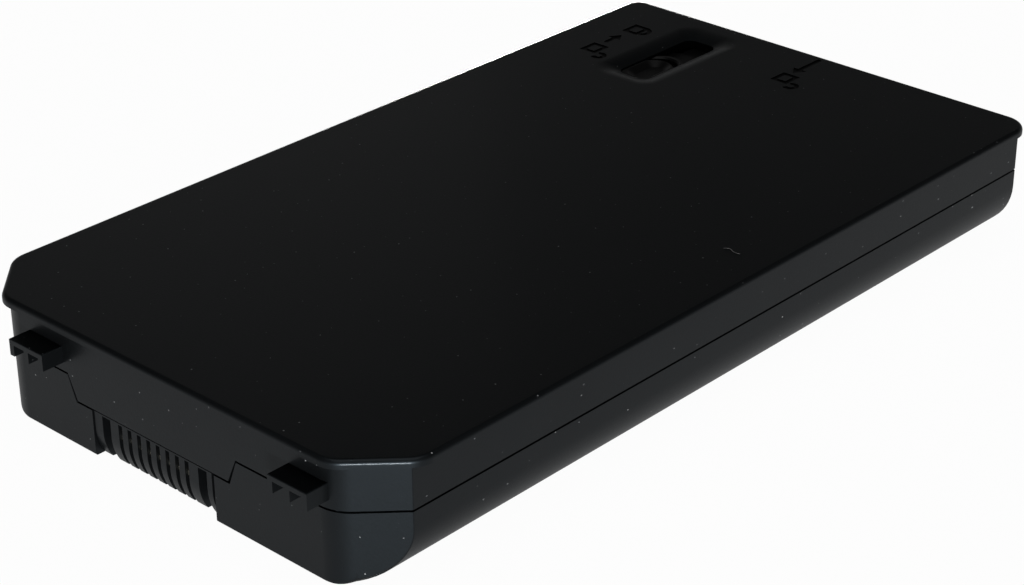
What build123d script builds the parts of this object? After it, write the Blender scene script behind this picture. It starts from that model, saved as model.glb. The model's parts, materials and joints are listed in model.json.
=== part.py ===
from build123d import *
import math
import os

# Flat laptop battery pack, millimetres. +X runs across the pack, +Y from the connector end to the latch end,
# +Z from the bottom to the outer plate. The origin is under the middle of the pack, on its bottom face.

# Cells: four rows across, two in line along the pack
cell_diameter = 18.3
cell_length = 65.0
cell_clearance = 0.1
row_count = 4
row_gap = 3.3
side_gap = 0.25
middle_gap = 2.4

# Case walls
wall_thickness = 1.5
floor_thickness = 1.1
plate_thickness = 1.4
front_bay = 9.4
back_bay = 12.55

# Rim of the outer plate, standing out beyond the walls
rim_side = 1.7
rim_front = 1.1
rim_back = 1.65
rim_cut = 0.9
rim_top_round = 0.8

# Plan corners and edges
corner_cut = 9.2
corner_cut_round = 5.0
plate_back_left_round = 3.0
plate_back_right_round = 4.8
long_edge_round = 9.0
edge_round = 0.4

# Parting line between the two case halves, measured down from the outer face
parting_drop = 8.6
parting_groove = 0.35
lip_thickness = 0.7
lip_height = 1.2
lip_clearance = 0.08
tongue_drop = 12.8
tongue_left = -20.1
tongue_right = 13.7
tongue_slope = 1.9

# Ribs between the cell rows
rib_thickness = 1.2
upper_rib_height = 2.0
lower_rib_height = 3.9
rib_end_gap = 5.0
stop_thickness = 1.2
stop_height = 8.0

# Hooks on the front wall
hook_left_centre = -26.75
hook_right_centre = 30.6
hook_width = 7.9
hook_reach = 3.8
hook_top_drop = 4.4
hook_height = 2.8
hook_plate = 0.9
hook_rib = 1.0
hook_edge_round = 0.2

# Thumb latch
latch_shift = 0.4
latch_from_back = 18.4
latch_travel = 4.0
latch_clearance = 0.2
scoop_width = 14.4
scoop_length = 29.4
scoop_depth = 0.9
scoop_corner = 4.0
window_width = 6.8
window_length = 21.0
window_corner = 1.8
boss_margin = 2.0
boss_thickness = 0.9
pad_set_down = 0.2
base_cell_gap = 0.42
base_thickness = 0.9
tail_width = 4.0
tail_length = 8.0
rail_thickness = 1.1
rail_lip = 0.8
rail_lip_thickness = 0.7
rail_length = 6.0
bolt_width = 5.0
bolt_height = 2.9
bolt_set_back = 0.2
bolt_bevel = 0.6
grip_height = 1.0
grip_drop = 1.9
grip_bevel = 0.3
crest_from_middle = -0.4
groove_width = 1.4
grip_rib_width = 1.3
dish_depth = 0.8
dish_slope = 30.0
dish_margin = 0.4

# Connector
connector_centre = -3.1
connector_width = 27.45
connector_depth = 6.5
connector_clearance = 0.2
connector_set_back = 0.2
connector_raise = 0.1
comb_left_gap = 0.25
comb_right_gap = 0.75
comb_top_gap = 0.35
comb_curve_start = 4.7
comb_curve_radius = 8.5
comb_tip_round = 0.5
contact_count = 8
slot_pitch = 2.14
slot_width = 0.86
slot_depth = 4.4
slot_top_bar = 0.25
guide_slot_width = 1.88
guide_slot_left = 3.24
guide_slot_right = 3.45
flange_thickness = 1.0
flange_overlap = 1.4
flange_rise = 1.6
contact_height = 2.0
contact_below_top = 1.3
contact_thickness = 0.2
contact_opening = 0.3
contact_length = 3.3
contact_base = 0.8
contact_set_in = 0.5
contact_clearance = 0.1
pin_width = 0.5
pin_proud = 0.5

# Circuit board, standing behind the connector
board_thickness = 1.0
board_side_gap = 9.3
board_top_gap = 2.1
board_lift = 0.3
board_gap = 0.2
board_clearance = 0.15
post_thickness = 1.3
post_width = 2.2
post_grip = 0.8
post_height = 9.0

# Strips, leads and insulators
strip_thickness = 0.2
strip_overhang = 6.0
end_strip_margin = 4.15
tap_strip_margin = 2.4
tab_width = 6.0
lead_diameter = 1.2
paper_thickness = 0.25
paper_margin = 1.5
thermistor_diameter = 3.0
thermistor_length = 5.0
thermistor_set_in = 4.0
thermistor_lead = 0.5
thermistor_lead_pitch = 1.4

# Parts on the board: length along X, height along Z, thickness off the board
chip_lead = 0.45
chip_lead_reach = 0.9
chip_lead_thickness = 0.2
gauge_size = (9.7, 4.4, 1.1)
gauge_lead_count = 7
gauge_from_right = 9.0
gauge_z = 12.5
transistor_size = (4.9, 3.9, 1.6)
transistor_lead_count = 4
transistors_from_left = [5.0, 11.5]
transistor_z = 11.0
fuse_size = (9.5, 5.0, 2.0)
fuse_from_right = 12.0
fuse_z = 5.2
resistor_size = (6.4, 3.2, 0.7)
resistor_from_left = 8.5
resistor_z = 5.0
capacitor_size = (2.0, 1.25, 1.25)
capacitors_from_right = [(18.0, 13.5), (18.0, 11.0), (3.0, 5.0)]
part_bevel = 0.2

# Places along Z
cell_axis = floor_thickness + cell_clearance + cell_diameter / 2
plate_under = floor_thickness + 2 * cell_clearance + cell_diameter
case_height = plate_under + plate_thickness
parting = case_height - parting_drop
tongue_bottom = case_height - tongue_drop
comb_top = tongue_bottom - comb_top_gap
flange_top = tongue_bottom + flange_rise
contact_floor = comb_top - contact_below_top - contact_height
board_top = plate_under - board_top_gap
boss_under = plate_under - boss_thickness
base_top = boss_under - latch_clearance
base_under = base_top - base_thickness

# Strip widths that stay clear of the cells' rims
end_strip_width = cell_diameter - 2 * end_strip_margin
tap_strip_width = cell_diameter - 2 * tap_strip_margin

# Places across X
row_pitch = cell_diameter + row_gap
row_places = [(row - (row_count - 1) / 2) * row_pitch for row in range(row_count)]
valley_places = [(left + right) / 2 for left, right in zip(row_places, row_places[1:])]
latch_x = valley_places[0] - latch_shift
cell_reach = math.sqrt((cell_diameter / 2) ** 2 - (base_under - cell_axis) ** 2)
base_half = row_pitch / 2 - cell_reach - latch_shift - base_cell_gap
wall_half = row_places[-1] + cell_diameter / 2 + side_gap + wall_thickness
plate_half = wall_half + rim_side
board_right = wall_half - board_side_gap
board_left = -board_right

# Places along Y, from the hooks' tips to the back of the plate
hook_beyond = hook_reach - rim_front
case_run = front_bay + 2 * cell_length + middle_gap + back_bay
plate_length = rim_front + 2 * wall_thickness + case_run + rim_back
plate_front = hook_beyond - (hook_beyond + plate_length) / 2
plate_back = plate_front + plate_length
wall_front = plate_front + rim_front
wall_back = plate_back - rim_back
cells_front = wall_front + wall_thickness + front_bay
middle_front = cells_front + cell_length
middle_back = middle_front + middle_gap
cells_back = middle_back + cell_length
latch_y = plate_back - latch_from_back
comb_front = wall_front + connector_set_back
notch_back = wall_front + connector_depth
board_front = notch_back + flange_thickness + board_gap
board_back = board_front + board_thickness

# Places of the connector's ends and slots across X
notch_left = connector_centre - connector_width / 2
notch_right = connector_centre + connector_width / 2
comb_left = notch_left + comb_left_gap
comb_right = notch_right - comb_right_gap
slot_numbers = range(contact_count)
slot_places = [connector_centre + (slot - (contact_count - 1) / 2) * slot_pitch for slot in slot_numbers]
guide_places = [slot_places[0] - guide_slot_left, slot_places[-1] + guide_slot_right]


def block(x0, x1, y0, y1, z0, z1):
    """Box between two corners."""
    return Pos((x0 + x1) / 2, (y0 + y1) / 2, (z0 + z1) / 2) * Box(x1 - x0, y1 - y0, z1 - z0)


def plan_outline(half_width, y_front, y_back, cut, cut_round, back_left_round, back_right_round):
    """Plan of the pack: a rectangle whose two front corners are cut at 45 degrees."""
    outline = make_face(
        Polyline(
            (half_width, y_back),
            (half_width, y_front + cut),
            (half_width - cut, y_front),
            (cut - half_width, y_front),
            (-half_width, y_front + cut),
            (-half_width, y_back),
            close=True,
        )
    )
    back_corners = outline.vertices().group_by(Axis.Y)[-1].sort_by(Axis.X)
    outline = fillet(back_corners[0], back_left_round)
    outline = fillet(outline.vertices().group_by(Axis.Y)[-1].sort_by(Axis.X)[-1], back_right_round)
    front_corners = outline.vertices().group_by(Axis.Y)[:2]
    return fillet(front_corners[0] + front_corners[1], cut_round)


def sharp_case(inset, bottom):
    """Body under the plate, moved in by inset all round: rounded long edges, cut front corners."""
    half_width = wall_half - inset
    y_front = wall_front + inset
    y_back = wall_back - inset
    section = make_face(Polyline(
        (-half_width, case_height), (-half_width, bottom), (half_width, bottom), (half_width, case_height),
        close=True,
    ))
    section = fillet(section.vertices().group_by(Axis.Y)[0], long_edge_round - inset)
    body = Pos(0, y_back, 0) * extrude(Plane.XZ * section, y_back - y_front)
    cut_line = plate_half - plate_front - corner_cut - (rim_cut + inset) * math.sqrt(2)
    cut_depth = (half_width - y_front - cut_line) / math.sqrt(2)
    for side in (-1, 1):
        corner = Pos(side * half_width, y_front, 0) * Rot(0, 0, 45 * side)
        body -= corner * Box(4 * cut_depth, 2 * cut_depth, 3 * case_height)
    return body


def soft_case():
    """Outside of that body, with softened edges."""
    return offset(sharp_case(edge_round, edge_round), edge_round, kind=Kind.ARC)


def between(body, z0, z1):
    """Slice of a body between two heights."""
    return body & block(-plate_half, plate_half, plate_front, plate_back, z0, z1)


def cell_space():
    """Room inside the case walls, above the floor."""
    return sharp_case(wall_thickness, floor_thickness)


def tongue_prism(grow):
    """Part of the front wall where the upper half dips below the parting line."""
    top = parting + grow
    bottom = tongue_bottom - grow
    outline = make_face(Polyline(
        (tongue_left - tongue_slope - grow, top),
        (tongue_left - grow, bottom),
        (tongue_right + grow, bottom),
        (tongue_right + tongue_slope + grow, top),
        close=True,
    ))
    return Pos(0, wall_front + wall_thickness, 0) * extrude(Plane.XZ * outline, 2 * wall_thickness)


def cell_ribs(z0, z1, valleys_by_span):
    """Straight ribs that lie in the valleys between the cell rows."""
    ribs = []
    for y0, y1, valleys in valleys_by_span:
        for x in valleys:
            ribs.append(block(
                x - rib_thickness / 2, x + rib_thickness / 2, y0 + rib_end_gap, y1 - rib_end_gap, z0, z1
            ))
    return ribs


def hook(centre):
    """Keying hook: a small shelf on the front wall with three ribs under it."""
    top = case_height - hook_top_drop
    tip = wall_front - hook_reach
    root = wall_front + wall_thickness / 2
    left = centre - hook_width / 2
    right = centre + hook_width / 2
    shelf = block(left, right, tip, root, top - hook_plate, top)
    shelf = fillet(shelf.faces().sort_by(Axis.Z)[-1].edges().sort_by(Axis.Y)[:-1], hook_edge_round)
    for x in (left, centre - hook_rib / 2, right - hook_rib):
        shelf += block(x, x + hook_rib, tip, root, top - hook_height, top - hook_plate / 2)
    return shelf


def latch_scoop():
    """Soft finger hollow round the latch window: it starts flush with the plate and steepens inward."""
    steps = 4
    sections = []
    for step in range(steps + 1):
        share = step / steps
        width = scoop_width + (window_width - scoop_width) * share
        length = scoop_length + (window_length - scoop_length) * share
        corner = scoop_corner + (window_corner - scoop_corner) * share
        place = Pos(latch_x, latch_y, case_height - scoop_depth * share**2)
        sections.append(place * RectangleRounded(width, length, corner))
    return loft(sections, ruled=True)


def latch_rails():
    """Two rails with inward lips that carry the slider's tail."""
    y1 = latch_y - window_length / 2 - boss_margin
    y0 = y1 - rail_length
    inner = tail_width / 2 + latch_clearance
    lip_top = base_under - latch_clearance
    rails = []
    for side in (-1, 1):
        x0, x1 = sorted([latch_x + side * inner, latch_x + side * (inner + rail_thickness)])
        rails.append(block(x0, x1, y0, y1, lip_top - rail_lip_thickness, plate_under + plate_thickness / 2))
        x0, x1 = sorted([latch_x + side * (inner - rail_lip), latch_x + side * (inner + rail_thickness)])
        rails.append(block(x0, x1, y0, y1, lip_top - rail_lip_thickness, lip_top))
    return rails


def make_upper_case():
    """Outer plate with its rim, upper walls, front tongue, hooks and latch window, in one moulding."""
    outline = plan_outline(
        plate_half, plate_front, plate_back, corner_cut, corner_cut_round,
        plate_back_left_round, plate_back_right_round,
    )
    plate = Pos(0, 0, plate_under) * extrude(outline, plate_thickness)
    plate = fillet(plate.edges().group_by(Axis.Z)[-1], rim_top_round)
    above = block(-plate_half, plate_half, plate_front, plate_back, parting, plate_under) + tongue_prism(0)
    walls = between(soft_case(), tongue_bottom, plate_under) & above
    walls -= cell_space()
    skin = wall_thickness - lip_thickness - lip_clearance
    walls -= between(sharp_case(skin, skin), tongue_bottom - lip_height, parting + lip_height + lip_clearance)
    boss = Pos(latch_x, latch_y, boss_under) * extrude(
        RectangleRounded(window_width + 2 * boss_margin, window_length + 2 * boss_margin, window_corner),
        boss_thickness + plate_thickness / 2,
    )
    free_valleys = [x for x in valley_places if abs(x - latch_x) > row_pitch / 2]
    ribs = cell_ribs(plate_under - upper_rib_height, plate_under + plate_thickness / 2, [
        (cells_front, middle_front, valley_places),
        (middle_back, cells_back, free_valleys),
    ])
    case = plate + walls + hook(hook_left_centre) + hook(hook_right_centre) + boss
    for piece in ribs + latch_rails():
        case += piece
    case -= latch_scoop()
    case -= Pos(latch_x, latch_y, boss_under) * extrude(
        RectangleRounded(window_width, window_length, window_corner), case_height - boss_under
    )
    bolt_half = bolt_width / 2 + latch_clearance
    case -= block(
        latch_x - bolt_half, latch_x + bolt_half, wall_back - 2 * wall_thickness, wall_back + wall_thickness,
        base_top - bolt_height - latch_clearance, base_top + latch_clearance,
    )
    return case


def board_posts():
    """Slotted posts of the tray that hold the ends of the circuit board."""
    posts = []
    for side in (-1, 1):
        inner = board_right - post_grip
        x0, x1 = sorted([side * inner, side * (inner + post_width)])
        post = block(
            x0, x1, board_front - post_thickness, board_back + post_thickness,
            floor_thickness / 2, floor_thickness + post_height,
        )
        s0, s1 = sorted([side * (inner - post_grip), side * (board_right + board_clearance)])
        post -= block(
            s0, s1, board_front - board_clearance, board_back + board_clearance,
            floor_thickness, floor_thickness + 2 * post_height,
        )
        posts.append(post)
    return posts


def make_lower_case():
    """Tray with rounded long edges, a lip inside the parting line and the connector notch."""
    case = between(soft_case(), 0, parting - parting_groove) - tongue_prism(parting_groove)
    lip_start = tongue_bottom - 2 * parting_groove
    lip_inset = wall_thickness - lip_thickness
    case += between(sharp_case(lip_inset, lip_inset), lip_start, parting + lip_height)
    case -= cell_space()
    stop_front = cells_back + strip_thickness + paper_thickness + cell_clearance
    stop_half = row_places[-1]
    case += block(
        -stop_half, stop_half, stop_front, stop_front + stop_thickness,
        floor_thickness / 2, floor_thickness + stop_height,
    )
    ribs = cell_ribs(floor_thickness / 2, floor_thickness + lower_rib_height, [
        (cells_front, middle_front, valley_places),
        (middle_back, cells_back, valley_places),
    ])
    for piece in ribs + board_posts():
        case += piece
    case -= block(notch_left, notch_right, plate_front, notch_back, -floor_thickness, tongue_bottom)
    return case


def thumb_dish(y0, y1, half_width, top):
    """Hollow for the thumb: a long scoop with round ends, whose sides slope down to a flat floor."""
    mouth = Pos(latch_x, (y0 + y1) / 2, top) * Rot(0, 0, 90) * SlotOverall(y1 - y0, 2 * half_width)
    return extrude(mouth, dish_depth, dir=(0, 0, -1), taper=90 - dish_slope)


def make_latch_slider():
    """Thumb slider: dished pad with an arched crest and grip rib, base under the plate, tail and bolt."""
    pad_top = case_height - scoop_depth - pad_set_down
    pad_floor = pad_top - grip_height
    near = latch_y - window_length / 2 + latch_clearance
    far = latch_y + window_length / 2 - latch_clearance - latch_travel
    left = latch_x - window_width / 2 + latch_clearance
    right = latch_x + window_width / 2 - latch_clearance

    corner = window_corner - latch_clearance

    def pad_up_to(crown):
        """Near part of the pad's plan, ending in an arch with its crown at the given place."""
        side = crown - grip_drop
        arch = ThreePointArc((right, side), (latch_x, crown), (left, side))
        plan = make_face(arch + Polyline(arch @ 1, (left, near), (right, near), arch @ 0))
        return fillet(plan.vertices().group_by(Axis.Y)[0], corner)

    crest = latch_y + crest_from_middle
    rib_near = crest + groove_width
    thumb = Pos(0, 0, pad_floor) * extrude(pad_up_to(crest), grip_height)
    thumb = chamfer(thumb.faces().sort_by(Axis.Z)[-1].edges().sort_by(Axis.Y)[-1], grip_bevel)
    thumb -= thumb_dish(near + dish_margin, crest - dish_margin, right - latch_x - dish_margin, pad_top)
    rib_plan = pad_up_to(rib_near + grip_rib_width) - pad_up_to(rib_near)
    rib = Pos(0, 0, pad_floor) * extrude(rib_plan, grip_height)
    rib = chamfer(rib.faces().sort_by(Axis.Z)[-1].edges(), grip_bevel)
    floor = Pos(latch_x, (near + far) / 2, base_under) * RectangleRounded(right - left, far - near, corner)
    slider = extrude(floor, pad_floor - base_under) + thumb + rib
    slider += block(latch_x - base_half, latch_x + base_half, near, far, base_under, base_top)
    tail_half = tail_width / 2
    slider += block(latch_x - tail_half, latch_x + tail_half, near - tail_length, near, base_under, base_top)
    bolt_half = bolt_width / 2
    bolt_end = wall_back - bolt_set_back
    bolt = block(latch_x - bolt_half, latch_x + bolt_half, far, bolt_end, base_top - bolt_height, base_top)
    bolt = chamfer(bolt.faces().sort_by(Axis.Y)[-1].edges(), bolt_bevel)
    return slider + bolt


def make_connector_housing():
    """Comb: its fingers stand upright at the front and curve back to the bottom of the pack."""
    back = notch_back + flange_thickness
    turn = math.asin((comb_curve_start - connector_raise) / comb_curve_radius)
    bend_middle = (comb_front + comb_curve_radius, comb_curve_start)
    bend = CenterArc(bend_middle, comb_curve_radius, 180, math.degrees(turn))
    rest = Polyline(bend @ 1, (back, connector_raise), (back, comb_top), (comb_front, comb_top), bend @ 0)
    side = make_face(bend + rest)
    side = fillet(side.vertices().sort_by_distance(Vector(*(bend @ 1)))[0], comb_tip_round)
    housing = Pos(comb_left, 0, 0) * extrude(Plane.YZ * side, comb_right - comb_left)
    floor_top = floor_thickness + connector_clearance
    housing -= block(
        notch_left, notch_right, notch_back - connector_clearance, back + flange_thickness,
        -floor_top, floor_top,
    )
    flange_front = wall_front + wall_thickness + connector_clearance
    housing += block(
        notch_left - flange_overlap, notch_right + flange_overlap,
        flange_front, flange_front + flange_thickness, floor_top, flange_top,
    )
    slots = [(x, slot_width) for x in slot_places] + [(x, guide_slot_width) for x in guide_places]
    for x, width in slots:
        housing -= block(
            x - width / 2, x + width / 2, comb_front - slot_depth, comb_front + slot_depth,
            -connector_depth, comb_top - slot_top_bar,
        )
    cavity_half = contact_opening / 2 + contact_thickness + contact_clearance
    for x in slot_places:
        housing -= block(
            x - cavity_half, x + cavity_half,
            comb_front + contact_set_in - contact_clearance, back + flange_thickness,
            contact_floor - contact_clearance, contact_floor + contact_height + contact_clearance,
        )
    return housing


def make_contact_set():
    """Fork contacts: two blades on a base, with a pin through the circuit board."""
    outer = contact_opening / 2 + contact_thickness
    front = comb_front + contact_set_in
    base_front = front + contact_length - contact_base
    contacts = []
    for x in slot_places:
        fork = block(
            x - outer, x + outer, front, front + contact_length, contact_floor, contact_floor + contact_height
        )
        fork -= block(
            x - contact_opening / 2, x + contact_opening / 2, front - contact_base, base_front,
            0, contact_floor + 2 * contact_height,
        )
        middle = contact_floor + contact_height / 2
        fork += block(
            x - pin_width / 2, x + pin_width / 2, base_front, board_back + pin_proud,
            middle - pin_width / 2, middle + pin_width / 2,
        )
        contacts.append(fork)
    return Compound(children=contacts)


def make_cell(x, y):
    """Flat-topped cylindrical cell in its sleeve, lying along the pack from y on."""
    return Pos(x, y + cell_length / 2, cell_axis) * Rot(90, 0, 0) * Cylinder(cell_diameter / 2, cell_length)


def strip_ends(rows):
    """Ends across X of a strip that covers the given rows."""
    return row_places[rows[0]] - strip_overhang, row_places[rows[-1]] + strip_overhang


def make_end_strip(rows):
    """Strip on the front ends of two cells, with a tab that reaches the circuit board."""
    x0, x1 = strip_ends(rows)
    top = cell_axis + end_strip_width / 2
    strip = block(x0, x1, cells_front - strip_thickness, cells_front, cell_axis - end_strip_width / 2, top)
    middle = (x0 + x1) / 2 + row_pitch / 2
    return strip + block(
        middle - tab_width / 2, middle + tab_width / 2, board_back, cells_front, top - strip_thickness, top
    )


def make_tap_strip(rows):
    """Folded strip between cells in line: two plates joined by a bend over the top."""
    x0, x1 = strip_ends(rows)
    bottom = cell_axis - tap_strip_width / 2
    top = cell_axis + tap_strip_width / 2
    bend = middle_gap / 2
    centre = (middle_front + middle_back) / 2
    inner = bend - strip_thickness
    upright = Pos(centre, (bottom + top) / 2)
    fold = upright * Rectangle(2 * bend, top - bottom) + Pos(centre, top) * Circle(bend)
    fold -= upright * Rectangle(2 * inner, top - bottom) + Pos(centre, top) * Circle(inner)
    return Pos(x0, 0, 0) * extrude(Plane.YZ * fold, x1 - x0)


def make_back_strip():
    """Flat strip over the back ends of all rows."""
    x0, x1 = strip_ends(range(row_count))
    half = tap_strip_width / 2
    return block(x0, x1, cells_back, cells_back + strip_thickness, cell_axis - half, cell_axis + half)


def make_sense_leads():
    """Insulated leads in the valleys, from each tap strip to the circuit board."""
    height = cell_axis + tap_strip_width / 2 - lead_diameter / 2
    ends = [middle_front, cells_back, middle_front]
    leads = []
    for x, end in zip(valley_places, ends):
        lead = Rot(-90, 0, 0) * Cylinder(lead_diameter / 2, end - board_back)
        leads.append(Pos(x, (board_back + end) / 2, height) * lead)
    return Compound(children=leads)


def make_thermistor():
    """Temperature bead between the two middle rows, on two stiff leads from the board."""
    start = cells_front + thermistor_set_in
    x = valley_places[1]
    bead = Pos(x, start + thermistor_length / 2, cell_axis) * Rot(-90, 0, 0) * Cylinder(
        thermistor_diameter / 2, thermistor_length
    )
    for side in (-1, 1):
        z = cell_axis + side * thermistor_lead_pitch / 2
        half = thermistor_lead / 2
        bead += block(x - half, x + half, board_back, start + half, z - half, z + half)
    return bead


def make_front_insulator():
    """Paper between the front strips and the board, with a window for the thermistor's leads."""
    x0, x1 = strip_ends(range(row_count))
    top = cell_axis + end_strip_width / 2 - 2 * strip_thickness
    y1 = cells_front - strip_thickness
    sheet = block(
        x0 + paper_margin, x1 - paper_margin, y1 - paper_thickness, y1, cell_axis - end_strip_width / 2, top
    )
    half = thermistor_lead_pitch
    x = valley_places[1]
    return sheet - block(x - half, x + half, y1 - half, y1 + half, cell_axis - half, cell_axis + half)


def make_back_insulator():
    """Paper over the back strip."""
    x0, x1 = strip_ends(range(row_count))
    half = tap_strip_width / 2
    y0 = cells_back + strip_thickness
    return block(
        x0 + paper_margin, x1 - paper_margin, y0, y0 + paper_thickness, cell_axis - half, cell_axis + half
    )


def make_protection_board():
    """Circuit board on edge, with a hole for each contact pin."""
    board = block(
        board_left, board_right, board_front, board_back, floor_thickness + board_lift, board_top
    )
    middle = contact_floor + contact_height / 2
    half = pin_width / 2 + board_clearance
    for x in slot_places:
        board -= block(
            x - half, x + half, board_front - half, board_back + half, middle - half, middle + half
        )
    return board


def board_part(size, x, z):
    """Plain bevelled component body on the front of the board."""
    length, height, thickness = size
    body = block(
        x - length / 2, x + length / 2, board_front - thickness, board_front, z - height / 2, z + height / 2
    )
    return chamfer(body.faces().sort_by(Axis.Y)[0].edges(), part_bevel)


def board_chip(size, x, z, lead_count):
    """Component body with a row of flat leads along its top and bottom edges."""
    length, height, thickness = size
    chip = board_part(size, x, z)
    pitch = length / lead_count
    reach = height / 2 + chip_lead_reach
    for lead in range(lead_count):
        middle = x + (lead - (lead_count - 1) / 2) * pitch
        chip += block(
            middle - chip_lead / 2, middle + chip_lead / 2,
            board_front - chip_lead_thickness, board_front, z - reach, z + reach,
        )
    return chip


os.makedirs("parts", exist_ok=True)


def save(node, shape):
    """Write one piece of the pack."""
    export_step(shape, f"parts/{node}.step")


save("upper_case", make_upper_case())
save("lower_case", make_lower_case())
save("latch_slider", make_latch_slider())
save("connector_housing", make_connector_housing())
save("contact_set", make_contact_set())

left_rows = range(row_count // 2)
right_rows = range(row_count // 2, row_count)
cell_number = 0
for column_front in (cells_front, middle_back):
    for row in range(row_count):
        cell_number += 1
        save(f"cell_{cell_number}", make_cell(row_places[row], column_front))

save("strip_negative", make_end_strip(left_rows))
save("strip_positive", make_end_strip(right_rows))
save("strip_tap_left", make_tap_strip(left_rows))
save("strip_tap_right", make_tap_strip(right_rows))
save("strip_tap_back", make_back_strip())
save("sense_leads", make_sense_leads())
save("thermistor", make_thermistor())
save("front_insulator", make_front_insulator())
save("back_insulator", make_back_insulator())

save("protection_board", make_protection_board())
save("gauge_chip", board_chip(gauge_size, board_right - gauge_from_right, gauge_z, gauge_lead_count))
save("switch_transistors", Compound(children=[
    board_chip(transistor_size, board_left + inward, transistor_z, transistor_lead_count)
    for inward in transistors_from_left
]))
save("board_fuse", board_part(fuse_size, board_right - fuse_from_right, fuse_z))
save("sense_resistor", board_part(resistor_size, board_left + resistor_from_left, resistor_z))
save("capacitors", Compound(children=[
    board_part(capacitor_size, board_right - inward, z) for inward, z in capacitors_from_right
]))
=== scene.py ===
"""Looks of a flat black laptop battery pack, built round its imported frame."""

import json
import math

import bmesh
import bpy
from mathutils import Matrix, Vector


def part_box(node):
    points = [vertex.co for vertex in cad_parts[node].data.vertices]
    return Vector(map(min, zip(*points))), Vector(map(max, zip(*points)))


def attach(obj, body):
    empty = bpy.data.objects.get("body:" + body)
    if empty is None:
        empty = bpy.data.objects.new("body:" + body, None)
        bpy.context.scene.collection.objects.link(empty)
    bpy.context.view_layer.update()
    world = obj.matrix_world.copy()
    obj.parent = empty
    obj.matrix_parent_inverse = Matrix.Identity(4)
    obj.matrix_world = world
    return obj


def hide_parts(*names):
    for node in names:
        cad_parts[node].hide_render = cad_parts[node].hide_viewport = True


MM = 0.001

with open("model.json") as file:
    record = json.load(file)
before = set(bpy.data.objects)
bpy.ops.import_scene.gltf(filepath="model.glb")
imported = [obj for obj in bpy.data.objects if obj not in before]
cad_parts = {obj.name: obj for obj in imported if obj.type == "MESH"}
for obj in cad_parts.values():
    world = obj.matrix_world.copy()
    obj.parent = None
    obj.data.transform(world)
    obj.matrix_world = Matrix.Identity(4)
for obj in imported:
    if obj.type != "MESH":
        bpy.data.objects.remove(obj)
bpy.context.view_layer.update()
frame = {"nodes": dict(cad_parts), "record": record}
nodes = frame["nodes"]
plate_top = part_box("upper_case")[1].z
rim_under = next(mount["pos_m"][2] for mount in frame["record"]["mounts"] if mount["name"] == "rim_seat")
wall_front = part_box("lower_case")[0].y
wall_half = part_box("lower_case")[1].x
cut_reach = max(vertex.co.x - vertex.co.y for vertex in nodes["lower_case"].data.vertices)


# Camera, in metres in the part's frame
CAMERA_PLACE = Vector((0.248545, -0.270744, 0.195315))
CAMERA_RIGHT = Vector((0.734492, 0.678592, -0.005874))
CAMERA_UP = Vector((-0.310049, 0.343265, 0.886588))
CAMERA_LENS = 87.607
SENSOR_WIDTH = 36.0
NEAREST_SEEN = 0.01


def make_camera():
    """Camera at the photograph's place and angle."""
    data = bpy.data.cameras.new("camera")
    data.sensor_width = SENSOR_WIDTH
    data.lens = CAMERA_LENS
    data.clip_start = NEAREST_SEEN
    camera = bpy.data.objects.new("camera", data)
    bpy.context.scene.collection.objects.link(camera)
    back = CAMERA_RIGHT.cross(CAMERA_UP)
    turn = Matrix((CAMERA_RIGHT, CAMERA_UP, back)).transposed().to_4x4()
    camera.matrix_world = Matrix.Translation(CAMERA_PLACE) @ turn
    bpy.context.scene.camera = camera


# Light and floor, with angles in degrees and lengths in metres
CAMERA_SIDE = 43
FAR_SIDE = CAMERA_SIDE + 180
BACK_SIDE = 238
SKY_LEVEL = 0.05
HORIZON_LEVEL = 0.38
HORIZON_BAND = 0.36
FLOOR_HALF = 4.0
FLOOR_DROP = 0.00002
FLOOR_COLOUR = (0.93, 0.93, 0.93, 1.0)
FLOOR_GLOW = 0.97
FLOOR_GLOW_MIRRORED = 0.5


def make_lamp(name, azimuth, elevation, distance, width, height, power):
    """Softbox that looks at the part from a compass angle (0 is in front) and a height angle."""
    data = bpy.data.lights.new(name, "AREA")
    data.shape = "RECTANGLE"
    data.size = width
    data.size_y = height
    data.energy = power
    lamp = bpy.data.objects.new(name, data)
    bpy.context.scene.collection.objects.link(lamp)
    turn = math.radians(azimuth)
    rise = math.radians(elevation)
    away = Vector((math.sin(turn) * math.cos(rise), -math.cos(turn) * math.cos(rise), math.sin(rise)))
    lamp.location = away * distance
    lamp.rotation_euler = away.to_track_quat("Z", "Y").to_euler()
    lamp.visible_camera = False


def make_world():
    """Surround that is pale at the horizon, like a studio's sweep, and dim overhead."""
    world = bpy.data.worlds.new("surround")
    world.use_nodes = True
    tree = world.node_tree
    way = tree.nodes.new("ShaderNodeSeparateXYZ")
    tree.links.new(tree.nodes.new("ShaderNodeTexCoord").outputs["Generated"], way.inputs["Vector"])
    fade = tree.nodes.new("ShaderNodeMapRange")
    fade.interpolation_type = "SMOOTHSTEP"
    fade.inputs["From Max"].default_value = HORIZON_BAND
    fade.inputs["To Min"].default_value = HORIZON_LEVEL
    fade.inputs["To Max"].default_value = SKY_LEVEL
    tree.links.new(way.outputs["Z"], fade.inputs["Value"])
    background = tree.nodes["Background"]
    background.inputs["Color"].default_value = (1.0, 1.0, 1.0, 1.0)
    tree.links.new(fade.outputs["Result"], background.inputs["Strength"])
    bpy.context.scene.world = world


def make_lights():
    """Two low strips that light the walls, a wide softbox overhead, a faint one behind and the surround."""
    strip = {"elevation": 1.2, "distance": 0.5, "width": 0.12, "height": 0.018}
    make_lamp("near_strip", CAMERA_SIDE, power=4.2, **strip)
    make_lamp("far_strip", FAR_SIDE, power=2.0, **strip)
    make_lamp("back_light", BACK_SIDE, elevation=20, distance=1.5, width=0.7, height=0.7, power=0.23)
    make_lamp("top_light", CAMERA_SIDE, elevation=78, distance=1.8, width=1.4, height=1.4, power=10.0)
    make_world()


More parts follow.
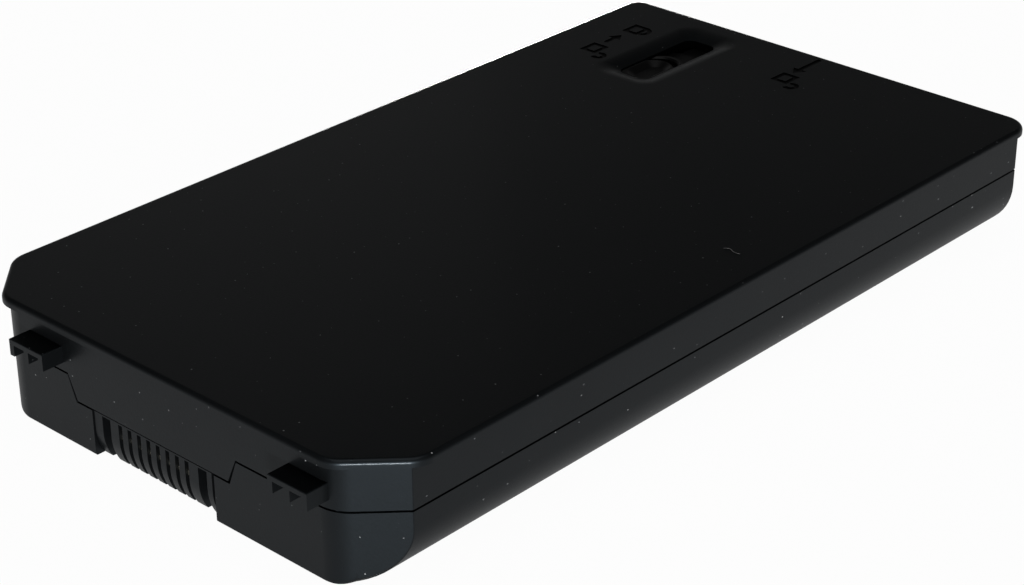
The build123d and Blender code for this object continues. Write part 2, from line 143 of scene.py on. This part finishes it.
def make_floor():
    """Plain pale floor whose glow lifts it to white, with the part's shadow kept."""
    mesh = bpy.data.meshes.new("floor")
    h = FLOOR_HALF
    mesh.from_pydata([(-h, -h, 0), (h, -h, 0), (h, h, 0), (-h, h, 0)], [], [(0, 1, 2, 3)])
    floor = bpy.data.objects.new("floor", mesh)
    floor.location.z = -FLOOR_DROP
    bpy.context.scene.collection.objects.link(floor)
    material = bpy.data.materials.new("floor")
    material.use_nodes = True
    tree = material.node_tree
    tree.nodes.clear()
    path = tree.nodes.new("ShaderNodeLightPath")
    mirrored = add_math(tree, "MAXIMUM", path.outputs["Is Glossy Ray"], path.outputs["Is Transmission Ray"])
    mirrored_share = add_math(tree, "MULTIPLY", mirrored, FLOOR_GLOW_MIRRORED)
    seen_share = add_math(tree, "MULTIPLY", path.outputs["Is Camera Ray"], FLOOR_GLOW)
    share = add_math(tree, "MAXIMUM", mirrored_share, seen_share)
    matte = tree.nodes.new("ShaderNodeBsdfDiffuse")
    matte.inputs["Color"].default_value = FLOOR_COLOUR
    glow = tree.nodes.new("ShaderNodeEmission")
    mix = tree.nodes.new("ShaderNodeMixShader")
    tree.links.new(share, mix.inputs[0])
    tree.links.new(matte.outputs[0], mix.inputs[1])
    tree.links.new(glow.outputs[0], mix.inputs[2])
    output = tree.nodes.new("ShaderNodeOutputMaterial")
    tree.links.new(mix.outputs[0], output.inputs["Surface"])
    mesh.materials.append(material)


# Shader helpers
def add_math(tree, operation, first, second):
    """Arithmetic on two values, each an output or a plain number."""
    step = tree.nodes.new("ShaderNodeMath")
    step.operation = operation
    for socket, value in zip(step.inputs, (first, second)):
        if isinstance(value, (int, float)):
            socket.default_value = value
        else:
            tree.links.new(value, socket)
    return step.outputs[0]


def start_material(name, roughness, specular, metallic=0.0):
    """New material with its main shader and a source of coordinates in metres."""
    material = bpy.data.materials.new(name)
    material.use_nodes = True
    tree = material.node_tree
    shader = tree.nodes["Principled BSDF"]
    shader.inputs["Roughness"].default_value = roughness
    shader.inputs["Specular IOR Level"].default_value = specular
    shader.inputs["Metallic"].default_value = metallic
    place = tree.nodes.new("ShaderNodeTexCoord").outputs["Object"]
    return material, tree, shader, place


def add_noise(tree, place, size_mm, detail=3.0):
    """Noise whose features are about size_mm across."""
    noise = tree.nodes.new("ShaderNodeTexNoise")
    noise.inputs["Scale"].default_value = 1.0 / (size_mm * MM)
    noise.inputs["Detail"].default_value = detail
    tree.links.new(place, noise.inputs["Vector"])
    return noise.outputs["Fac"]


def add_ramp(tree, value, stops):
    """Colour ramp through (position, colour) stops."""
    ramp = tree.nodes.new("ShaderNodeValToRGB")
    elements = ramp.color_ramp.elements
    for index, (position, colour) in enumerate(stops):
        element = elements[index] if index < 2 else elements.new(position)
        element.position = position
        element.color = (*colour, 1.0)
    tree.links.new(value, ramp.inputs["Fac"])
    return ramp.outputs["Color"]


def add_range(tree, value, low, high):
    """Stretch a 0 to 1 value to a range."""
    stretch = tree.nodes.new("ShaderNodeMapRange")
    stretch.inputs["To Min"].default_value = low
    stretch.inputs["To Max"].default_value = high
    tree.links.new(value, stretch.inputs["Value"])
    return stretch.outputs["Result"]


def add_bump(tree, shader, height, depth_mm, strength):
    """Surface relief of about depth_mm."""
    bump = tree.nodes.new("ShaderNodeBump")
    bump.inputs["Distance"].default_value = depth_mm * MM
    bump.inputs["Strength"].default_value = strength
    tree.links.new(height, bump.inputs["Height"])
    tree.links.new(bump.outputs["Normal"], shader.inputs["Normal"])


def add_mixed(tree, share, first, second):
    """Colour between two others, each an output or a plain colour."""
    mix = tree.nodes.new("ShaderNodeMix")
    mix.data_type = "RGBA"
    tree.links.new(share, mix.inputs["Factor"])
    for socket, value in zip((mix.inputs[6], mix.inputs[7]), (first, second)):
        if isinstance(value, tuple):
            socket.default_value = (*value, 1.0)
        else:
            tree.links.new(value, socket)
    return mix.outputs[2]


def scaled(colour, factor):
    """Colour made darker or lighter."""
    return tuple(channel * factor for channel in colour)


# Dust: a speck in a few of the cells of a flat pattern, laid over the top and wrapped round the walls
DUST_SPACING = 3.2
DUST_SHARE = 0.44
DUST_LARGEST = 0.13
DUST_PALE = (0.2, 0.205, 0.21)
DUST_DARK = (0.04, 0.042, 0.044)
DUST_FADE = 2.0
WALL_SKEW = 0.6
LEVEL_NORMAL = 0.7


def add_dust(tree, place):
    """Mask that is 1 on scattered specks of dust, and a colour that differs from speck to speck."""
    part = tree.nodes.new("ShaderNodeSeparateXYZ")
    tree.links.new(place, part.inputs["Vector"])
    over_top = tree.nodes.new("ShaderNodeCombineXYZ")
    tree.links.new(part.outputs["X"], over_top.inputs["X"])
    tree.links.new(part.outputs["Y"], over_top.inputs["Y"])
    round_walls = tree.nodes.new("ShaderNodeCombineXYZ")
    skewed = add_math(tree, "MULTIPLY", part.outputs["Y"], WALL_SKEW)
    tree.links.new(add_math(tree, "ADD", part.outputs["X"], skewed), round_walls.inputs["X"])
    tree.links.new(part.outputs["Z"], round_walls.inputs["Y"])
    normal = tree.nodes.new("ShaderNodeSeparateXYZ")
    tree.links.new(tree.nodes.new("ShaderNodeNewGeometry").outputs["Normal"], normal.inputs["Vector"])
    level = add_math(tree, "GREATER_THAN", normal.outputs["Z"], LEVEL_NORMAL)
    spread = tree.nodes.new("ShaderNodeMix")
    spread.data_type = "VECTOR"
    tree.links.new(level, spread.inputs["Factor"])
    tree.links.new(round_walls.outputs["Vector"], spread.inputs[4])
    tree.links.new(over_top.outputs["Vector"], spread.inputs[5])
    cells = tree.nodes.new("ShaderNodeTexVoronoi")
    cells.voronoi_dimensions = "2D"
    cells.inputs["Scale"].default_value = 1.0 / (DUST_SPACING * MM)
    tree.links.new(spread.outputs[1], cells.inputs["Vector"])
    draw = tree.nodes.new("ShaderNodeSeparateColor")
    tree.links.new(cells.outputs["Color"], draw.inputs["Color"])
    kept = add_math(tree, "SUBTRACT", draw.outputs["Red"], 1.0 - DUST_SHARE)
    radius = add_math(tree, "MULTIPLY", kept, DUST_LARGEST / DUST_SPACING / DUST_SHARE)
    mask = add_math(tree, "LESS_THAN", cells.outputs["Distance"], radius)
    paleness = add_math(tree, "POWER", draw.outputs["Green"], DUST_FADE)
    return mask, add_mixed(tree, paleness, DUST_DARK, DUST_PALE)


# Materials, with sizes of grain, clouds and lines in millimetres
NO_TINT = (1.0, 1.0, 1.0, 1.0)
COOL_TINT = (0.68, 0.86, 1.0, 1.0)
COAT_ROUGHNESS = 0.13
CLOUD_SIZE = 14.0
TONE_LOW = 0.3
TONE_HIGH = 0.7
DARKER = 0.85
LIGHTER = 1.15
GLOSS_SWING = 0.05
GRAIN_STRENGTH = 0.5
LINE_SIZE = 0.2
LINE_STRETCH = (0.05, 1.0, 1.0)
METAL_SPECULAR = 0.5
METAL_GLOSS_BELOW = 0.06
METAL_GLOSS_ABOVE = 0.1
METAL_RELIEF = 0.01
METAL_STRENGTH = 0.3


def moulded_plastic(
    name, colour, roughness, specular, grain_mm, depth_mm, coat=0.0, tint=NO_TINT, dusty=False
):
    """Moulded plastic: fine grain, faint tone clouds, uneven gloss and, where asked, a skin and dust."""
    material, tree, shader, place = start_material(name, roughness, specular)
    shader.inputs["Specular Tint"].default_value = tint
    shader.inputs["Coat Weight"].default_value = coat
    shader.inputs["Coat Roughness"].default_value = COAT_ROUGHNESS
    clouds = add_noise(tree, place, CLOUD_SIZE)
    tone = add_ramp(tree, clouds, [(TONE_LOW, scaled(colour, DARKER)), (TONE_HIGH, scaled(colour, LIGHTER))])
    if dusty:
        mask, dust = add_dust(tree, place)
        tone = add_mixed(tree, mask, tone, dust)
    tree.links.new(tone, shader.inputs["Base Color"])
    grain = add_noise(tree, place, grain_mm, detail=2.0)
    gloss = add_range(tree, grain, roughness - GLOSS_SWING, roughness + GLOSS_SWING)
    tree.links.new(gloss, shader.inputs["Roughness"])
    add_bump(tree, shader, grain, depth_mm, GRAIN_STRENGTH)
    return material


def sheet_metal(name, colour, roughness):
    """Rolled or flashed metal with fine drag lines along one way."""
    material, tree, shader, place = start_material(name, roughness, METAL_SPECULAR, metallic=1.0)
    stretch = tree.nodes.new("ShaderNodeMapping")
    stretch.inputs["Scale"].default_value = LINE_STRETCH
    tree.links.new(place, stretch.inputs["Vector"])
    lines = add_noise(tree, stretch.outputs["Vector"], LINE_SIZE)
    tone = add_ramp(tree, lines, [(TONE_LOW, scaled(colour, DARKER)), (TONE_HIGH, colour)])
    tree.links.new(tone, shader.inputs["Base Color"])
    gloss = add_range(tree, lines, roughness - METAL_GLOSS_BELOW, roughness + METAL_GLOSS_ABOVE)
    tree.links.new(gloss, shader.inputs["Roughness"])
    add_bump(tree, shader, lines, METAL_RELIEF, METAL_STRENGTH)
    return material


# Contacts: painted dark all over, which is tarnish and also painted shade inside the slots, and painted
# bright in a band where the mating blades slide, partly rubbed wear and partly painted glints, in millimetres
RUB_AND_GLINT_HEIGHT = 5.3
RUB_AND_GLINT_HALF = 0.65
RUB_AND_GLINT_PATCH = 1.2
# Dark tone is tarnish plus painted shade in the slots; bright tone is rubbed wear plus painted glints.
TARNISH_AND_SHADE_BRASS = (0.07, 0.05, 0.03)
RUBBED_AND_GLINT_BRASS = (0.97, 0.88, 0.70)
BRASS_ROUGHNESS = 0.3
BRASS_SMOOTHEST = 0.12
BRASS_ROUGHEST = 0.4


def rubbed_and_glinting_brass(name):
    """Spring brass painted dark as tarnish and slot shade, with a bright band of rubbed wear and painted
    glints.
    """
    material, tree, shader, place = start_material(name, BRASS_ROUGHNESS, METAL_SPECULAR, metallic=1.0)
    part = tree.nodes.new("ShaderNodeSeparateXYZ")
    tree.links.new(place, part.inputs["Vector"])
    offset = add_math(tree, "SUBTRACT", part.outputs["Z"], RUB_AND_GLINT_HEIGHT * MM)
    away = add_math(tree, "DIVIDE", add_math(tree, "ABSOLUTE", offset, 0.0), RUB_AND_GLINT_HALF * MM)
    patches = add_noise(tree, place, RUB_AND_GLINT_PATCH)
    # This band mask paints glints on the contacts as well as rubbed wear.
    rubbed_and_glint = add_math(tree, "GREATER_THAN", add_math(tree, "SUBTRACT", patches, away), 0.0)
    tone = add_mixed(tree, rubbed_and_glint, TARNISH_AND_SHADE_BRASS, RUBBED_AND_GLINT_BRASS)
    tree.links.new(tone, shader.inputs["Base Color"])
    gloss = add_range(tree, patches, BRASS_SMOOTHEST, BRASS_ROUGHEST)
    tree.links.new(gloss, shader.inputs["Roughness"])
    add_bump(tree, shader, patches, METAL_RELIEF, METAL_STRENGTH)
    return material


def dress(material, *names):
    """Give CAD nodes a material."""
    for name in names:
        node = nodes[name]
        node.data.materials.clear()
        node.data.materials.append(material)


CASE_BLACK = (0.0016, 0.0017, 0.0018)
# Darker black for the latch slider and the sign recesses: painted shade of their hollows.
RECESS_SHADED_BLACK = (0.0013, 0.0013, 0.0014)
CASE_COAT = 0.06
NICKEL_COLOUR = (0.66, 0.63, 0.57)
NICKEL_ROUGHNESS = 0.32
STRIPS = ["strip_negative", "strip_positive", "strip_tap_left", "strip_tap_right", "strip_tap_back"]
CELLS = [name for name in nodes if name.startswith("cell_")]
CHIPS = ["gauge_chip", "switch_transistors", "sense_resistor"]
PAPERS = ["front_insulator", "back_insulator"]

# Material, colour, roughness, specular level, size and depth of the grain, and the nodes that have it
PLAIN_PLASTICS = [
    # The latch slider's darker colour and lower specular paint the shade of its pocket.
    ("latch_plastic", RECESS_SHADED_BLACK, 0.42, 0.12, 0.3, 0.015, ["latch_slider"]),
    ("cell_sleeve", (0.010, 0.015, 0.021), 0.4, 0.4, 0.8, 0.01, CELLS),
    ("lead_insulation", (0.4, 0.02, 0.02), 0.4, 0.5, 0.5, 0.01, ["sense_leads"]),
    ("bead_resin", (0.02, 0.02, 0.02), 0.25, 0.5, 0.6, 0.02, ["thermistor"]),
    ("insulating_paper", (0.3, 0.33, 0.24), 0.8, 0.2, 0.3, 0.02, PAPERS),
    ("board_laminate", (0.012, 0.11, 0.045), 0.3, 0.5, 0.6, 0.01, ["protection_board"]),
    ("chip_resin", (0.018, 0.018, 0.02), 0.55, 0.4, 0.15, 0.01, CHIPS),
    ("ceramic", (0.68, 0.66, 0.6), 0.3, 0.5, 0.4, 0.01, ["board_fuse"]),
    ("capacitor_ceramic", (0.35, 0.22, 0.12), 0.5, 0.4, 0.2, 0.01, ["capacitors"]),
]

case_plastic = moulded_plastic(
    "case_plastic", CASE_BLACK, roughness=0.42, specular=0.14, grain_mm=0.35, depth_mm=0.02,
    coat=CASE_COAT, tint=COOL_TINT, dusty=True,
)


def dress_nodes():
    """Materials of all the pieces that stay as they are."""
    comb_plastic = moulded_plastic(
        "comb_plastic", CASE_BLACK, roughness=0.4, specular=0.15, grain_mm=0.4, depth_mm=0.01,
        coat=CASE_COAT, tint=COOL_TINT,
    )
    dress(comb_plastic, "connector_housing")
    dress(rubbed_and_glinting_brass("contact_metal"), "contact_set")
    dress(sheet_metal("nickel", NICKEL_COLOUR, NICKEL_ROUGHNESS), *STRIPS)
    for *finish, names in PLAIN_PLASTICS:
        dress(moulded_plastic(*finish), *names)


# Signs sunk into the plate, in millimetres in the part's frame
SIGN_DEPTH = 0.2
STROKE = 0.9
BAND_STEPS = 14
BODY_WIDTH = 3.6
BODY_LENGTH = 4.1
NEAR_LOCK = (-36.2, 54.6)
FAR_LOCK = (-36.3, 66.8)
RELEASE_LOCK = (-1.0, 66.6)
CLOSED_SHACKLE = 1.9
OPEN_SHACKLE = 1.5
OPEN_SHIFT = (1.2, -2.3)
CLOSED_SWEEP = 90
OPEN_SWEEP = 130
LINK_MIDDLE = -34.8
LINK_REACH = (60.2, 64.9)
RELEASE_MIDDLE = 0.4
RELEASE_TAIL = 79.8
RELEASE_TIP = 71.5
HEAD_HALF = 1.4
HEAD_LENGTH = 2.2
SHARP_ANGLE = 30


def bar(x0, x1, y0, y1):
    """Straight stroke of a sign."""
    return [(x0, y0), (x1, y0), (x1, y1), (x0, y1)]


def band(x, y, radius, start, end):
    """Curved stroke of a sign, between two angles in degrees."""
    angles = [math.radians(start + (end - start) * step / BAND_STEPS) for step in range(BAND_STEPS + 1)]
    outer = [(x + radius * math.cos(a), y + radius * math.sin(a)) for a in angles]
    inner = [(x + (radius - STROKE) * math.cos(a), y + (radius - STROKE) * math.sin(a)) for a in angles]
    return outer + inner[::-1]


def lock_strokes(left, near, is_open):
    """Padlock lying on its side: a square outline, with the shackle on its right or swung open."""
    right = left + BODY_WIDTH
    far = near + BODY_LENGTH
    strokes = [
        bar(left, right, near, near + STROKE),
        bar(left, right, far - STROKE, far),
        bar(left, left + STROKE, near, far),
        bar(right - STROKE, right, near, far),
    ]
    if is_open:
        x = right + OPEN_SHIFT[0]
        y = (near + far) / 2 + OPEN_SHIFT[1]
        return strokes + [band(x, y, OPEN_SHACKLE, -OPEN_SWEEP, OPEN_SWEEP)]
    return strokes + [band(right - STROKE / 2, (near + far) / 2, CLOSED_SHACKLE, -CLOSED_SWEEP, CLOSED_SWEEP)]


def arrow_strokes(x, tail, tip):
    """Arrow along Y: a shaft and a solid head."""
    base = tip - math.copysign(HEAD_LENGTH, tip - tail)
    head = [(x - HEAD_HALF, base), (x + HEAD_HALF, base), (x, tip)]
    low, high = sorted((tail, base))
    return [bar(x - STROKE / 2, x + STROKE / 2, low, high), head]


def prism(name, outline, bottom, top):
    """Upright block on a flat outline, all in metres but for the outline's millimetres."""
    shape = bmesh.new()
    ring = [shape.verts.new((x * MM, y * MM, bottom)) for x, y in outline]
    floor = shape.faces.new(ring)
    raised = bmesh.ops.extrude_face_region(shape, geom=[floor])["geom"]
    lifted = [item for item in raised if isinstance(item, bmesh.types.BMVert)]
    bmesh.ops.translate(shape, vec=(0, 0, top - bottom), verts=lifted)
    return finished_cutter(name, shape)


# Rounded upright edges beside the cut corners, with a softer foot, in millimetres and degrees
FRONT_FACING = -90
CUT_FACING = -45
EDGE_ROUND = 6.5
EDGE_STEPS = 16
EDGE_MARGIN = 1.0
LONG_EDGE_ROUND = 9.0
FOOT_ROUND = 0.4
FOOT_SWELL = 0.6
FOOT_RUN = 5.0
FOOT_RUN_STEPS = 8
FOOT_STEPS = 24
SKIN_GAP = 0.02
WELD_DISTANCE = 0.0001
HOOK_END = 34.55
HOOK_UNDER = 13.8
HOOK_TOP = 16.6
LOWER_TOP = 15.0


def foot_height(x):
    """Height of the case's underside, which turns up along its long edges."""
    over = max(x - wall_half / MM + LONG_EDGE_ROUND, 0.0)
    return LONG_EDGE_ROUND - math.sqrt(LONG_EDGE_ROUND ** 2 - over ** 2)


def foot_inset(height, radius):
    """How far a rounded foot of that radius stands back at a height above the underside."""
    short = min(max(radius - height, 0.0), radius)
    return radius - math.sqrt(radius ** 2 - short ** 2)


def edge_cutter(name, side, bottom, top, start=None):
    """Block that leaves a rounded edge and foot on one side's cut corner, from start along X."""
    front = wall_front / MM
    corner = Vector((cut_reach / MM + front, front))
    ahead = Vector((0, -1))
    slant = Vector((math.sqrt(0.5), -math.sqrt(0.5)))
    along = Vector((math.sqrt(0.5), math.sqrt(0.5)))
    lean = (ahead + slant) / (1 + ahead.dot(slant))
    centre = corner - lean * EDGE_ROUND
    first = FRONT_FACING
    if start is not None:
        first = -math.degrees(math.acos((start - centre.x) / EDGE_ROUND))
    path = []
    for step in range(EDGE_STEPS + 1):
        share = step / EDGE_STEPS
        angle = math.radians(first + (CUT_FACING - first) * share)
        way = Vector((math.cos(angle), math.sin(angle)))
        path.append((centre + way * EDGE_ROUND, way, FOOT_ROUND + FOOT_SWELL * share ** 2))
    end = path[-1][0]
    for step in range(1, FOOT_RUN_STEPS + 1):
        share = step / FOOT_RUN_STEPS
        place = end + along * FOOT_RUN * share + slant * SKIN_GAP
        path.append((place, slant, FOOT_ROUND + FOOT_SWELL * (1 - share)))
    outside = [
        path[-1][0] + slant * EDGE_MARGIN,
        corner + lean * EDGE_MARGIN,
        path[0][0] + ahead * EDGE_MARGIN,
    ]
    foot_top = foot_height(path[-1][0].x) + FOOT_ROUND
    feet = [foot_top * step / FOOT_STEPS for step in range(FOOT_STEPS + 1)]
    shape = bmesh.new()
    rings = []
    for height in [bottom] + [foot for foot in feet if bottom < 0] + [top]:
        inner = [p - way * foot_inset(height - foot_height(p.x), foot) for p, way, foot in path]
        rings.append([shape.verts.new((side * p.x * MM, p.y * MM, height * MM)) for p in inner + outside])
    for low, high in zip(rings, rings[1:]):
        for index in range(len(low)):
            shape.faces.new((low[index - 1], low[index], high[index], high[index - 1]))
    shape.faces.new(rings[0])
    shape.faces.new(rings[-1])
    return finished_cutter(name, shape)


def finished_cutter(name, shape):
    """Object of a cutter's closed shape."""
    bmesh.ops.triangulate(shape, faces=shape.faces)
    bmesh.ops.recalc_face_normals(shape, faces=shape.faces)
    mesh = bpy.data.meshes.new(name)
    shape.to_mesh(mesh)
    shape.free()
    return bpy.data.objects.new(name, mesh)


def welded_copy(name, node):
    """Copy of a node with the seams of its mesh closed."""
    shape = bmesh.new()
    shape.from_mesh(node.data)
    bmesh.ops.remove_doubles(shape, verts=shape.verts, dist=WELD_DISTANCE * MM)
    shape.verts.index_update()
    points = [vertex.co for vertex in shape.verts]
    faces = [[vertex.index for vertex in face.verts] for face in shape.faces]
    mesh = bpy.data.meshes.new(name)
    mesh.from_pydata(points, [], faces)
    shape.free()
    piece = bpy.data.objects.new(name, mesh)
    bpy.context.scene.collection.objects.link(piece)
    return piece


def settle(piece):
    """Turn a piece's modifiers into its mesh."""
    graph = bpy.context.evaluated_depsgraph_get()
    mesh = bpy.data.meshes.new_from_object(piece.evaluated_get(graph))
    piece.modifiers.clear()
    piece.data = mesh


def carve(name, node, cutters):
    """Copy of a case half with the cutters taken away, which stands for it."""
    piece = welded_copy(name, nodes[node])
    piece.data.materials.append(case_plastic)
    group = bpy.data.collections.new(name)
    bpy.context.scene.collection.children.link(group)
    for cutter in cutters:
        group.objects.link(cutter)
    cut = piece.modifiers.new("carving", "BOOLEAN")
    cut.operation = "DIFFERENCE"
    cut.operand_type = "COLLECTION"
    cut.collection = group
    cut.solver = "EXACT"
    cut.material_mode = "TRANSFER"
    settle(piece)
    for cutter in cutters:
        bpy.data.objects.remove(cutter)
    bpy.data.collections.remove(group)
    piece.data.shade_smooth()
    piece.data.set_sharp_from_angle(angle=math.radians(SHARP_ANGLE))
    normals = piece.modifiers.new("normals", "WEIGHTED_NORMAL")
    normals.keep_sharp = True
    settle(piece)
    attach(piece, "case")
    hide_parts(node)


def sign_cutters():
    """Blocks that sink the lock signs into the plate."""
    strokes = lock_strokes(*NEAR_LOCK, is_open=True)
    strokes += lock_strokes(*FAR_LOCK, is_open=False)
    strokes += lock_strokes(*RELEASE_LOCK, is_open=True)
    strokes += arrow_strokes(LINK_MIDDLE, *LINK_REACH)
    strokes += arrow_strokes(RELEASE_MIDDLE, RELEASE_TAIL, RELEASE_TIP)
    # Recess floors get a darker, duller material: painted shade inside the sunk signs.
    recess = moulded_plastic(
        "sign_recess", RECESS_SHADED_BLACK, roughness=0.5, specular=0.1, grain_mm=0.2, depth_mm=0.01
    )
    depth = SIGN_DEPTH * MM
    cutters = []
    for number, outline in enumerate(strokes):
        cutter = prism(f"sign_cutter_{number}", outline, plate_top - depth, plate_top + depth)
        cutter.data.materials.append(recess)
        cutters.append(cutter)
    return cutters


def make_case():
    """Both case halves, with rounded front edges and the signs in the plate."""
    under = -EDGE_MARGIN
    rim = rim_under / MM
    lower = [edge_cutter(f"lower_edge_{side}", side, under, LOWER_TOP) for side in (-1, 1)]
    upper = [
        edge_cutter("upper_edge_left", -1, under, rim),
        edge_cutter("upper_edge_below_hook", 1, under, HOOK_UNDER),
        edge_cutter("upper_edge_beside_hook", 1, under, rim, start=HOOK_END),
        edge_cutter("upper_edge_over_hook", 1, HOOK_TOP, rim),
    ]
    for cutter in lower + upper:
        cutter.data.materials.append(case_plastic)
    carve("lower_case_shell", "lower_case", lower)
    carve("upper_case_shell", "upper_case", upper + sign_cutters())


# Fibre of lint on the plate, in millimetres
LINT_RADIUS = 0.05
LINT_COLOUR = (0.2, 0.2, 0.2)
LINT_POINTS = [(35.5, 7.1), (36.2, 7.7), (36.9, 7.4), (37.3, 7.15), (38.0, 7.1), (38.7, 7.2)]


def make_lint():
    """Pale fibre that lies on the plate."""
    curve = bpy.data.curves.new("lint_fibre", "CURVE")
    curve.dimensions = "3D"
    curve.bevel_depth = LINT_RADIUS * MM
    curve.bevel_resolution = 1
    curve.use_fill_caps = True
    spline = curve.splines.new("NURBS")
    spline.points.add(len(LINT_POINTS) - 1)
    for point, (x, y) in zip(spline.points, LINT_POINTS):
        point.co = (x * MM, y * MM, plate_top + LINT_RADIUS * MM, 1.0)
    spline.order_u = 3
    spline.use_endpoint_u = True
    lint = bpy.data.objects.new("lint_fibre", curve)
    bpy.context.scene.collection.objects.link(lint)
    fluff = moulded_plastic("lint", LINT_COLOUR, roughness=0.8, specular=0.2, grain_mm=0.2, depth_mm=0.01)
    curve.materials.append(fluff)
    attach(lint, "case")


make_camera()
make_lights()
make_floor()
dress_nodes()
make_case()
make_lint()

bpy.context.scene.view_settings.view_transform = "Standard"
